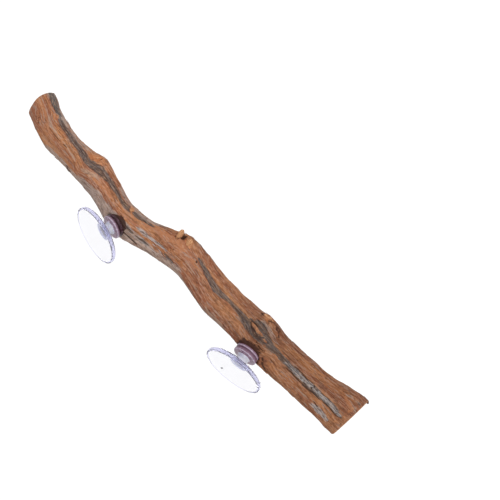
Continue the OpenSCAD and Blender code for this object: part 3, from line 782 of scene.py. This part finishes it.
def cup_profile():
    """From the screw's pocket, over the head, the neck and the dome, into the hollow"""
    disc_z = CUP_H - DISC_H
    groove = HEAD_T / 2
    corners = [
        (0, POCKET_TOP, 0), (POCKET_R, POCKET_TOP, 0.2), (POCKET_R, FLOOR_T, 0.2),
        (SHANK_R, FLOOR_T, 0.1), (SHANK_R, 0, 0.1), (HEAD_R, 0, 0.7),
        (HEAD_R, groove - 0.6, 0.4), (HEAD_R - GROOVE_DEPTH, groove - 0.2, 0.3),
        (HEAD_R - GROOVE_DEPTH, groove + 0.2, 0.3), (HEAD_R, groove + 0.6, 0.4),
        (HEAD_R, HEAD_T, 0.7), (NECK_R + 0.2, HEAD_T, 0.9),
        (NECK_R * 0.92, HEAD_T + 2.2, 0.9), (NECK_R, disc_z - 0.3, 0.8),
    ]
    dome = []
    for i in range(1, DOME_STEPS + 1):
        t = 1 - (1 - i / DOME_STEPS) ** 2
        bulge = 1 - (1 - t ** DOME_POWER) ** (1 / DOME_POWER)
        swell = t + (bulge - t) * DOME_SWELL
        dome.append((NECK_R + (CUP_R - NECK_R) * t, disc_z + (DISC_H - RIM_T) * swell, 0))
    hollow_r = CUP_R - LIP_W
    sphere = (hollow_r ** 2 + HOLLOW_H ** 2) / (2 * HOLLOW_H)
    hollow = []
    for i in range(HOLLOW_STEPS + 1):
        r = hollow_r * (1 - i / HOLLOW_STEPS)
        depth = sphere - math.sqrt(sphere ** 2 - r ** 2)
        hollow.append((r, CUP_H - HOLLOW_H + depth, 0.3 if i == 0 else 0))
    line = rounded(corners + dome + [(CUP_R, CUP_H, 0.3)] + hollow)
    return line, len(line) - len(hollow)


# How far a head's tint goes from pale over pink to dark: resin, and painted shade where the
# head meets its seat and in its groove; at heights up its side, then at distances from the
# middle of its top
HEAD_SIDE_TINT_AND_SHADE = {
    "upper": ((0, 0.9), (2.3, 0.95), (3.0, 0.85), (3.7, 0.50), (4.4, 0.25)),
    "lower": ((0, 0.70), (0.7, 0.52), (1.2, 0.22), (1.5, 0.22), (1.8, 0.62), (3.3, 0.62),
              (4.0, 0.52), (4.5, 0.22))}
HEAD_TOP_TINT = {
    "upper": ((4.3, 0.30), (5.2, 0.45), (6.6, 0.56), (7.8, 0.52), (8.2, 0.25)),
    "lower": ((4.3, 0.42), (5.0, 0.55), (7.6, 0.60), (8.2, 0.32))}
# A black fleck in the lower cup's hollow: distance from the middle and turn around it,
# and a distance that counts as far from it
FLECK_R, FLECK_TURN, NO_FLECK = 16.0, math.radians(64), 30.0


def make_cup(name, side_name, seat, tab_turn, finishes):
    """One cup with its disc, head and neck in the three finishes, and the frame of its seat"""
    line, hollow_row = cup_profile()
    place = seat_matrix(seat)
    points, violet, tint, fleck, faces, finish_of = [], [], [], [], [], []
    rows = len(line) - 2
    for row, (r, z) in enumerate(line[1:-1]):
        for side in range(CUP_SIDES):
            turn = 360 * side / CUP_SIDES
            off = abs(wrap(turn - tab_turn)) * math.radians(1) * CUP_R
            rim = float(smooth((r - CUP_R + 0.9) / 0.5)) * (z > CUP_H - RIM_T - 0.3)
            tab = TAB_L * float(smooth((TAB_W / 2 + 0.35 - off) / 0.7)) * rim
            wave = WAVE_H * math.sin(math.radians(WAVE_COUNT * turn + WAVE_PHASE)) * (
                r / CUP_R) ** 2
            angle = math.radians(turn)
            points.append(place @ Vector(((r + tab) * math.cos(angle) * MM,
                                          (r + tab) * math.sin(angle) * MM,
                                          (z + wave * (z > CUP_H - DISC_H)) * MM)))
            violet.append(float(smooth((r - VIOLET_FROM) / 2.2)) * (row < hollow_row - 2))
            on_top = HEAD_T - 0.3 < z and r < HEAD_R - 0.2
            tint.append(np.interp(r, *zip(*HEAD_TOP_TINT[side_name])) if on_top else
                        np.interp(z, *zip(*HEAD_SIDE_TINT_AND_SHADE[side_name])))
            fleck.append(math.hypot(r * math.cos(angle) - FLECK_R * math.cos(FLECK_TURN),
                                    r * math.sin(angle) - FLECK_R * math.sin(FLECK_TURN))
                         if side_name == "lower" and row >= hollow_row - 1 else NO_FLECK)
    first, last = len(points), len(points) + 1
    points += [place @ Vector((0, 0, z * MM)) for z in (line[0][1], line[-1][1])]
    violet += [0.0, 0.0]
    tint += [HEAD_SIDE_TINT_AND_SHADE[side_name][0][1], 0.0]
    fleck += [NO_FLECK, NO_FLECK]
    for row in range(rows - 1):
        for side in range(CUP_SIDES):
            n = (side + 1) % CUP_SIDES
            faces.append((row * CUP_SIDES + side, row * CUP_SIDES + n,
                          (row + 1) * CUP_SIDES + n, (row + 1) * CUP_SIDES + side))
            height = max(line[row + 1][1], line[row + 2][1])
            finish_of.append(1 if height < HEAD_T + 0.4 else
                             2 if height < NECK_TOP and row < hollow_row - 2 else 0)
    end = (rows - 1) * CUP_SIDES
    for side in range(CUP_SIDES):
        n = (side + 1) % CUP_SIDES
        faces.append((n, side, first))
        faces.append((end + side, end + n, last))
        finish_of += [1, 0]
    cup = mesh_object(name, points, faces)
    paint(cup, violet=np.array(violet), tint=np.array(tint), fleck=np.array(fleck))
    for finish in finishes:
        cup.data.materials.append(finish)
    cup.data.polygons.foreach_set("material_index", finish_of)
    return cup, place


class Graph:
    """Short calls for making and joining nodes"""

    def __init__(self, tree):
        self.tree = tree

    def feed(self, socket, value):
        if isinstance(value, bpy.types.NodeSocket):
            self.tree.links.new(value, socket)
        else:
            socket.default_value = value

    def add(self, kind, inputs=None, **settings):
        node = self.tree.nodes.new(kind)
        for name, value in settings.items():
            setattr(node, name, value)
        for name, value in (inputs or {}).items():
            self.feed(node.inputs[name], value)
        return node

    def math(self, operation, a, b=0.0, clamp=False):
        node = self.add("ShaderNodeMath", {0: a, 1: b}, operation=operation, use_clamp=clamp)
        return node.outputs[0]

    def span(self, value, low, high, to_low=0.0, to_high=1.0):
        node = self.add("ShaderNodeMapRange", {
            "Value": value, "From Min": low, "From Max": high, "To Min": to_low,
            "To Max": to_high}, interpolation_type="SMOOTHSTEP")
        return node.outputs["Result"]

    def mix(self, share, a, b, blend="MIX"):
        node = self.add("ShaderNodeMix", {"Factor": share}, data_type="RGBA", blend_type=blend)
        self.feed(node.inputs[6], srgb(a) if isinstance(a, str) else a)
        self.feed(node.inputs[7], srgb(b) if isinstance(b, str) else b)
        return node.outputs[2]

    def noise(self, place, scale, detail=2.0, rough=0.55):
        stretched = self.add("ShaderNodeVectorMath", {0: place, 1: scale}, operation="MULTIPLY")
        node = self.add("ShaderNodeTexNoise", {
            "Vector": stretched.outputs[0], "Scale": 1.0, "Detail": detail, "Roughness": rough})
        return node.outputs[0]

    def read(self, name):
        return self.add("ShaderNodeAttribute", attribute_name=name)

    def relief(self, shader, height, strength, distance):
        bump = self.add("ShaderNodeBump", {"Height": height, "Strength": strength,
                                           "Distance": distance})
        self.feed(shader.inputs["Normal"], bump.outputs[0])


# Bark fibres, scattered by a tree of nodes
FIBRE_SEED = 11


def fibre_tree():
    tree = bpy.data.node_groups.new("bark fibres", "GeometryNodeTree")
    face = tree.interface
    face.new_socket("Geometry", in_out="INPUT", socket_type="NodeSocketGeometry")
    ids = {}
    for name, kind, value in (
            ("Fibres per square metre", "NodeSocketFloat", 60000.0),
            ("Shortest", "NodeSocketFloat", 4.0 * MM), ("Longest", "NodeSocketFloat", 12.0 * MM),
            ("Width", "NodeSocketFloat", 0.45 * MM), ("Height", "NodeSocketFloat", 0.24 * MM),
            ("Seed", "NodeSocketInt", FIBRE_SEED), ("Finish", "NodeSocketMaterial", None)):
        socket = face.new_socket(name, in_out="INPUT", socket_type=kind)
        if value is not None:
            socket.default_value = value
        ids[name] = socket.identifier
    face.new_socket("Geometry", in_out="OUTPUT", socket_type="NodeSocketGeometry")
    graph = Graph(tree)
    put = graph.add("NodeGroupInput").outputs
    density = graph.add("GeometryNodeInputNamedAttribute", {"Name": "fibrous"},
                        data_type="FLOAT").outputs["Attribute"]
    spread = graph.add("GeometryNodeDistributePointsOnFaces", {
        "Mesh": put["Geometry"], "Seed": put["Seed"],
        "Density": graph.math("MULTIPLY", density, put["Fibres per square metre"])})
    lie = graph.add("GeometryNodeInputNamedAttribute", {"Name": "lie"},
                    data_type="FLOAT_VECTOR").outputs["Attribute"]
    turn = graph.add("FunctionNodeAxesToRotation", {
        "Primary Axis": spread.outputs["Normal"], "Secondary Axis": lie},
        primary_axis="Z", secondary_axis="X")
    length = graph.add("FunctionNodeRandomValue", {
        "Min": put["Shortest"], "Max": put["Longest"], "Seed": put["Seed"]},
        data_type="FLOAT")
    size = graph.add("ShaderNodeCombineXYZ", {
        "X": [o for o in length.outputs if o.enabled][0], "Y": put["Width"], "Z": put["Height"]})
    ball = graph.add("GeometryNodeMeshUVSphere", {"Segments": 6, "Rings": 5, "Radius": 0.5})
    spindle = graph.add("GeometryNodeTransform", {
        "Geometry": ball.outputs["Mesh"], "Rotation": (0, math.radians(90), 0),
        "Translation": (0, 0, -0.12)})
    laid = graph.add("GeometryNodeInstanceOnPoints", {
        "Points": spread.outputs["Points"], "Instance": spindle.outputs["Geometry"],
        "Rotation": turn.outputs["Rotation"], "Scale": size.outputs["Vector"]})
    real = graph.add("GeometryNodeRealizeInstances", {"Geometry": laid.outputs["Instances"]})
    soft = graph.add("GeometryNodeSetShadeSmooth", {"Geometry": real.outputs["Geometry"]})
    done = graph.add("GeometryNodeSetMaterial", {
        "Geometry": soft.outputs["Geometry"], "Material": put["Finish"]})
    graph.add("NodeGroupOutput", {"Geometry": done.outputs["Geometry"]})
    return tree, ids


def make_fibres(branch, finish):
    """Loose fibres that lie on the bark, as one plain mesh"""
    mesh = branch.data.copy()
    fibres = bpy.data.objects.new("bark_fibres", mesh)
    bpy.context.scene.collection.objects.link(fibres)
    count = len(mesh.vertices)
    read = {name: np.empty(count, np.float32) for name in
            ("cut", "stain", "dark", "grey", "orange", "calm", "near_end")}
    for name, values in read.items():
        mesh.attributes[name].data.foreach_get("value", values)
    fibrous = 1 - np.clip(read["near_end"] + read["cut"] * 3 + read["stain"] * 2 + read["dark"]
                          + 0.6 * read["grey"] + 0.4 * read["orange"]
                          + 0.9 * read["calm"], 0, 1)
    co = np.empty(count * 3, np.float32)
    mesh.vertices.foreach_get("co", co)
    co = co.reshape(-1, 3)[:RINGS * SIDES].reshape(RINGS, SIDES, 3)
    grain = np.empty(count * 3, np.float32)
    mesh.attributes["grain"].data.foreach_get("vector", grain)
    turn = np.unwrap(np.arctan2(grain.reshape(-1, 3)[:RINGS * SIDES, 2],
                                grain.reshape(-1, 3)[:RINGS * SIDES, 1]).reshape(RINGS, SIDES),
                     axis=0)
    along, around = np.gradient(co, axis=0), (np.roll(co, -1, 1) - np.roll(co, 1, 1)) / 2
    per_side = 2 * np.pi / SIDES
    lie = along - around * (np.gradient(turn, axis=0) / per_side)[..., None]
    lie = np.concatenate((lie.reshape(-1, 3), np.tile((1.0, 0, 0), (count - RINGS * SIDES, 1))))
    paint(fibres, fibrous=fibrous, lie=lie)
    tree, ids = fibre_tree()
    scatter = fibres.modifiers.new("scatter", "NODES")
    scatter.node_group = tree
    scatter[ids["Finish"]] = finish
    scatter[ids["Seed"]] = FIBRE_SEED
    bpy.context.view_layer.update()
    settled = bpy.data.meshes.new_from_object(
        fibres.evaluated_get(bpy.context.evaluated_depsgraph_get()))
    fibres.modifiers.clear()
    fibres.data = settled
    return fibres


# Finishes
def group(name, inputs, outputs):
    tree = bpy.data.node_groups.new(name, "ShaderNodeTree")
    for label, kind, value in inputs:
        socket = tree.interface.new_socket(label, in_out="INPUT", socket_type=kind)
        if value is not None:
            socket.default_value = value
    for label, kind in outputs:
        tree.interface.new_socket(label, in_out="OUTPUT", socket_type=kind)
    return tree, Graph(tree)


def grain_group():
    """Strands, fibres, blotches, grit and crevices that run along a piece of wood"""
    tree, graph = group(
        "wood grain",
        (("Place", "NodeSocketVector", None), ("Along", "NodeSocketFloat", 130.0),
         ("Across", "NodeSocketFloat", 780.0)),
        tuple((name, "NodeSocketFloat") for name in
              ("Strand", "Fibre", "Blotch", "Grit", "Crevice")))
    put = graph.add("NodeGroupInput").outputs

    def stretch(along, across):
        a = graph.math("MULTIPLY", put["Along"], along)
        c = graph.math("MULTIPLY", put["Across"], across)
        return graph.add("ShaderNodeCombineXYZ", {"X": a, "Y": c, "Z": c}).outputs[0]

    results = {}
    for label, along, across, detail, low, high in (
            ("Strand", 1.0, 1.0, 3.0, 0.36, 0.64), ("Fibre", 2.6, 2.6, 2.0, 0.34, 0.66),
            ("Blotch", 0.22, 0.14, 3.0, 0.38, 0.62), ("Grit", 5.0, 1.7, 2.0, 0.30, 0.70)):
        results[label] = graph.span(
            graph.noise(put["Place"], stretch(along, across), detail), low, high)
    moved = graph.add("ShaderNodeVectorMath", {
        0: graph.add("ShaderNodeTexNoise", {"Vector": put["Place"], "Scale": 420.0}).outputs[1],
        1: (-0.5, -0.5, -0.5)}, operation="ADD")
    shift = graph.add("ShaderNodeVectorMath", {
        0: moved.outputs[0], 1: (0.004, 0.0012, 0.0012), 2: put["Place"]},
        operation="MULTIPLY_ADD")
    cell = graph.add("ShaderNodeVectorMath", {0: shift.outputs[0], 1: stretch(0.95, 0.50)},
                     operation="MULTIPLY")
    edge = graph.add("ShaderNodeTexVoronoi", {"Vector": cell.outputs[0], "Scale": 1.0},
                     feature="DISTANCE_TO_EDGE").outputs["Distance"]
    results["Crevice"] = graph.span(edge, 0.085, 0.01)
    graph.add("NodeGroupOutput", results)
    return tree


def scuff_group():
    """Faint rubbed patches and fine dust"""
    tree, graph = group(
        "scuffs", (("Place", "NodeSocketVector", None), ("Size", "NodeSocketFloat", 900.0)),
        (("Scuff", "NodeSocketFloat"), ("Dust", "NodeSocketFloat")))
    put = graph.add("NodeGroupInput").outputs
    big = graph.add("ShaderNodeTexNoise", {"Vector": put["Place"], "Scale": put["Size"],
                                           "Detail": 4.0}).outputs[0]
    small = graph.add("ShaderNodeTexNoise", {
        "Vector": put["Place"], "Scale": graph.math("MULTIPLY", put["Size"], 3.7)}).outputs[0]
    graph.add("NodeGroupOutput", {"Scuff": graph.span(big, 0.42, 0.68),
                                  "Dust": graph.span(small, 0.60, 0.78)})
    return tree


def material(name, **sockets):
    made = bpy.data.materials.new(name)
    made.use_nodes = True
    made.node_tree.nodes.clear()
    graph = Graph(made.node_tree)
    shader = graph.add("ShaderNodeBsdfPrincipled", {
        key.replace("_", " "): value for key, value in sockets.items()})
    graph.add("ShaderNodeOutputMaterial", {"Surface": shader.outputs[0]})
    return made, graph, shader


def bark_material(grain_tree):
    made, graph, shader = material("bark", Specular_IOR_Level=0.16)
    place = graph.read("grain").outputs["Vector"]
    wood = graph.add("ShaderNodeGroup", node_tree=grain_tree)
    for socket, value in (("Place", place), ("Along", 84.0), ("Across", 780.0)):
        graph.feed(wood.inputs[socket], value)
    strand, fibre, blotch, grit, crevice = (
        wood.outputs[n] for n in ("Strand", "Fibre", "Blotch", "Grit", "Crevice"))
    torn = graph.math("SUBTRACT", graph.math("ADD", strand, fibre), 1.0)

    def share(value, low, high, most):
        return graph.math("MULTIPLY", graph.span(value, low, high), most)

    def mark(name, most, bite=0.35, crisp=0.35):
        """A painted mark, with an edge that the fibres tear"""
        edge = graph.math("ADD", graph.read(name).outputs["Fac"],
                          graph.math("MULTIPLY", torn, bite))
        return share(edge, 0.5 - crisp, 0.5 + crisp, most)

    def streaks(colour, value, low, high, most, tint):
        """Tints one end of the grain's range, less so where the bark is calm"""
        return graph.mix(graph.math("MULTIPLY", quiet, share(value, low, high, most)), colour,
                         tint)

    peeled = mark("peeled", 1.0, 0.25, 0.45)
    quiet = graph.math("SUBTRACT", 1.0, graph.math("MULTIPLY", graph.read("calm").outputs["Fac"],
                                                   0.65))
    colour = graph.mix(blotch, RED_BROWN, ORANGE_BROWN)
    colour = graph.mix(mark("warm", 0.50, 0.5, 0.45), colour, WARM)
    colour = streaks(colour, strand, 0.48, 0.0, 0.36, DEEP_BROWN)
    colour = streaks(colour, strand, 0.55, 1.0, 0.22, ORANGE)
    colour = graph.mix(graph.math("MULTIPLY", peeled, 0.55), colour, PEELED)
    old = graph.mix(share(fibre, 0.5, 0.0, 0.7), WEATHERED, WEATHERED_DARK)
    grey = graph.mix(strand, FLUTE_DARK, FLUTE_GREY)
    silver = graph.mix(share(fibre, 0.1, 0.9, 1.0), SILVER_DARK, SILVER)
    orange = graph.mix(strand, ORANGE, ORANGE_LIGHT)
    colour = graph.mix(mark("weathered", 0.74, 0.55, 0.5), colour, old)
    colour = graph.mix(mark("pale", 0.60, 0.6), colour, PALE)
    colour = graph.mix(mark("grey", 0.86, 0.40, 0.32), colour, grey)
    colour = graph.mix(mark("silver", 0.88, 0.4), colour, silver)
    colour = graph.mix(mark("orange", 0.72, 0.4), colour, orange)
    colour = streaks(colour, fibre, 0.60, 1.0, 0.26, TAN_FIBRE)
    colour = streaks(colour, fibre, 0.38, 0.0, 0.24, DEEP_BROWN)
    colour = streaks(colour, grit, 0.34, 0.0, 0.44, GRIT_DARK)
    colour = graph.mix(share(grit, 0.70, 1.0, 0.30), colour, GRIT_LIGHT)
    open_bark = graph.span(graph.noise(place, (60, 260, 260), 2.0), 0.45, 0.60)
    colour = graph.mix(graph.math("MULTIPLY", crevice, share(open_bark, 0, 1, 0.42)),
                       colour, GRIT_DARK)
    tone = graph.add("ShaderNodeVectorMath", {
        0: (1.0, 1.02, 1.06), "Scale": graph.read("tone").outputs["Fac"]}, operation="SCALE")
    colour = graph.mix(1.0, colour, tone.outputs[0], "MULTIPLY")
    # Cracks and knot rings, and painted shade under the stubs and the upper cup's head
    colour = graph.mix(mark("dark", 0.84, 0.3), colour, CRACK_AND_SHADE)
    # A dark ring round each seat: partly stained wood, partly painted shade in the gap round the
    # head
    colour = graph.mix(mark("stain", 0.92, 0.4), colour, graph.mix(fibre, STAIN_AND_SHADE, CRACK_AND_SHADE))
    across = graph.add("ShaderNodeVectorMath", {0: place, 1: (0, 1, 1)}, operation="MULTIPLY")
    far = graph.add("ShaderNodeVectorMath", {0: across.outputs[0]},
                    operation="LENGTH").outputs[1]
    uneven = graph.math("MULTIPLY", graph.noise(place, (90, 220, 220), 2.0), 0.0022)
    ring = graph.math("SINE", graph.math("MULTIPLY", graph.math("ADD", far, uneven), 5200.0))
    face = graph.mix(graph.span(ring, -0.6, 1.0), CUT_WOOD, CUT_RING)
    face = graph.mix(share(grit, 0.4, 0.0, 0.35), face, CUT_RING)
    face = graph.mix(share(far, 0.0016, 0.0, 0.7), face, DEEP_BROWN)
    colour = graph.mix(mark("cut", 1.0, 0.15, 0.3), colour, face)
    graph.feed(shader.inputs["Base Color"], colour)
    graph.feed(shader.inputs["Roughness"], graph.span(strand, 0.0, 1.0, 0.88, 0.70))
    height = graph.math("ADD", graph.math("MULTIPLY", strand, 0.45),
                        graph.math("MULTIPLY", fibre, 0.35))
    height = graph.math("ADD", height, graph.math("MULTIPLY", grit, 0.25))
    height = graph.math("SUBTRACT", height, graph.math("MULTIPLY", crevice, 0.5))
    graph.relief(shader, height, 0.5, 0.45 * MM)
    return made


def scuffed_material(name, scuff_tree, size, rough, relief, **sockets):
    """A material with scuffs in its gloss and relief, whose colour is still to be fed"""
    made, graph, shader = material(name, **sockets)
    scuffs = graph.add("ShaderNodeGroup", node_tree=scuff_tree)
    graph.feed(scuffs.inputs["Place"], graph.add("ShaderNodeTexCoord").outputs["Object"])
    graph.feed(scuffs.inputs["Size"], size)
    graph.feed(shader.inputs["Roughness"], graph.span(scuffs.outputs["Scuff"], 0, 1, *rough))
    kind, strength, distance = relief
    graph.relief(shader, scuffs.outputs[kind], strength, distance)
    return made, graph, shader, scuffs.outputs


def pvc_material(scuff_tree):
    """Clear soft PVC, violet where the eye looks through a lot of it"""
    made, graph, shader, _ = scuffed_material(
        "clear_pvc", scuff_tree, 180.0, (0.0, 0.05), ("Scuff", 0.08, 0.2 * MM),
        Transmission_Weight=0.93, IOR=1.2, Specular_IOR_Level=0.35)
    outside = graph.math("SUBTRACT", 1.0,
                         graph.add("ShaderNodeNewGeometry").outputs["Backfacing"])
    skin = graph.math("MULTIPLY", graph.read("violet").outputs["Fac"], outside)
    fleck = graph.span(graph.read("fleck").outputs["Fac"], 0.95, 0.60)
    colour = graph.mix(fleck, graph.mix(skin, CLEAR_PVC, VIOLET_PVC), FLECK)
    graph.feed(shader.inputs["Base Color"], colour)
    depth = graph.add("ShaderNodeVolumeAbsorption", {"Color": VIOLET_DEPTH, "Density": 5.0})
    output = [n for n in made.node_tree.nodes if n.type == "OUTPUT_MATERIAL"][0]
    graph.feed(output.inputs["Volume"], depth.outputs[0])
    return made


def neck_material(scuff_tree):
    """The same PVC where it flexes, a little milky"""
    made, graph, shader, scuffs = scuffed_material(
        "milky_pvc", scuff_tree, 400.0, (0.15, 0.30), ("Scuff", 0.1, 0.2 * MM),
        Transmission_Weight=0.35, IOR=1.2)
    graph.feed(shader.inputs["Base Color"], graph.mix(scuffs["Scuff"], NECK_PVC, NECK_SHADE))
    return made


def head_material(scuff_tree):
    """The same PVC over the screw, tinted by the wood's resin and the dark seat behind it, with
    painted shade where it meets the seat and in its groove
    """
    made, graph, shader, scuffs = scuffed_material(
        "tinted_pvc", scuff_tree, 600.0, (0.12, 0.30), ("Scuff", 0.15, 0.2 * MM),
        Transmission_Weight=0.22, IOR=1.35)
    mottled = graph.math("MULTIPLY", scuffs["Scuff"], -0.12)
    tint = graph.math("ADD", graph.read("tint").outputs["Fac"], mottled)
    colour = graph.mix(graph.span(tint, 0.05, 0.5), HEAD_PALE, HEAD_PINK)
    # The dark end is resin, with painted shade near the seat and in the groove
    colour = graph.mix(graph.span(tint, 0.5, 0.95), colour, RESIN_AND_SHADE)
    graph.feed(shader.inputs["Base Color"], colour)
    return made


def steel_material(scuff_tree):
    """Zinc-plated steel of the screws and washers"""
    made, graph, shader, scuffs = scuffed_material(
        "zinc_steel", scuff_tree, 700.0, (0.28, 0.5), ("Dust", 0.2, 0.05 * MM), Metallic=1.0)
    graph.feed(shader.inputs["Base Color"], graph.mix(scuffs["Dust"], ZINC, ZINC_DUST))
    return made


# Floor, world and lamps
FLOOR_SIZE, FLOOR_Z = 6.0, -0.16
FLOOR_GLOW, WORLD_LIGHT, WORLD_SEEN = 0.64, 0.62, 1.0
# Lamps: name, direction from the object, strength and spread in degrees
LAMPS = (("key", (-0.25, 0.15, 0.95), 1.05, 50), ("fill", (-0.7, 0.65, 0.35), 0.45, 60))


def seen_by_eye(graph):
    """1 for what the camera sees directly, in a gloss or through clear PVC"""
    path = graph.add("ShaderNodeLightPath").outputs
    direct = graph.math("MAXIMUM", path["Is Camera Ray"], path["Is Glossy Ray"])
    return graph.math("MAXIMUM", direct, path["Is Transmission Ray"])


def make_floor():
    """A grey floor that looks white to the camera and keeps the object's shadow"""
    size, z = FLOOR_SIZE, FLOOR_Z
    corners = [(-size, -size, z), (size, -size, z), (size, size, z), (-size, size, z)]
    floor = mesh_object("floor", corners, [(0, 1, 2, 3)], False)
    made = bpy.data.materials.new("floor")
    made.use_nodes = True
    made.node_tree.nodes.clear()
    graph = Graph(made.node_tree)
    matt = graph.add("ShaderNodeBsdfDiffuse", {"Color": FLOOR_GREY})
    glow = graph.add("ShaderNodeEmission", {
        "Color": WHITE, "Strength": graph.math("MULTIPLY", seen_by_eye(graph), FLOOR_GLOW)})
    both = graph.add("ShaderNodeAddShader", {0: matt.outputs[0], 1: glow.outputs[0]})
    clear = graph.add("ShaderNodeBsdfTransparent")
    under = graph.add("ShaderNodeNewGeometry").outputs["Backfacing"]
    final = graph.add("ShaderNodeMixShader", {0: under, 1: both.outputs[0], 2: clear.outputs[0]})
    graph.add("ShaderNodeOutputMaterial", {"Surface": final.outputs[0]})
    floor.data.materials.append(made)


def make_light():
    """A white world and two soft lamps"""
    scene = bpy.context.scene
    scene.view_settings.view_transform = "Standard"
    world = bpy.data.worlds.new("world")
    scene.world = world
    world.use_nodes = True
    world.node_tree.nodes.clear()
    graph = Graph(world.node_tree)
    shine = graph.add("ShaderNodeBackground", {
        "Color": WHITE, "Strength": graph.span(seen_by_eye(graph), 0, 1, WORLD_LIGHT,
                                               WORLD_SEEN)})
    graph.add("ShaderNodeOutputWorld", {"Surface": shine.outputs[0]})
    for name, direction, strength, spread in LAMPS:
        data = bpy.data.lights.new(name, "SUN")
        data.energy, data.angle = strength, math.radians(spread)
        lamp = bpy.data.objects.new(name, data)
        lamp.rotation_euler = Vector(direction).to_track_quat("Z", "Y").to_euler()
        scene.collection.objects.link(lamp)


# Put together
make_camera()
make_floor()
make_light()
grain_tree, scuff_tree = grain_group(), scuff_group()
bark = bark_material(grain_tree)
pvc = tuple(make(scuff_tree) for make in (pvc_material, head_material, neck_material))
steel = steel_material(scuff_tree)

branch = make_branch()
branch.data.materials.append(bark)
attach(branch, "branch")
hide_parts("branch")

fibres = make_fibres(branch, bark)
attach(fibres, "branch")

for piece in (make_sliver(), make_stubs()):
    piece.data.materials.append(bark)
    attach(piece, "branch")

for side, seat, tab_turn in (("upper", UPPER_SEAT, 215), ("lower", LOWER_SEAT, 220)):
    cup, place = make_cup(side + "_cup", side, seat, tab_turn, pvc)
    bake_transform(cup)
    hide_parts(side + "_cup_disc", side + "_cup_neck", side + "_cup_head")
    for part in ("_screw", "_washer"):
        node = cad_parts[side + part]
        node.data.materials.clear()
        node.data.materials.append(steel)
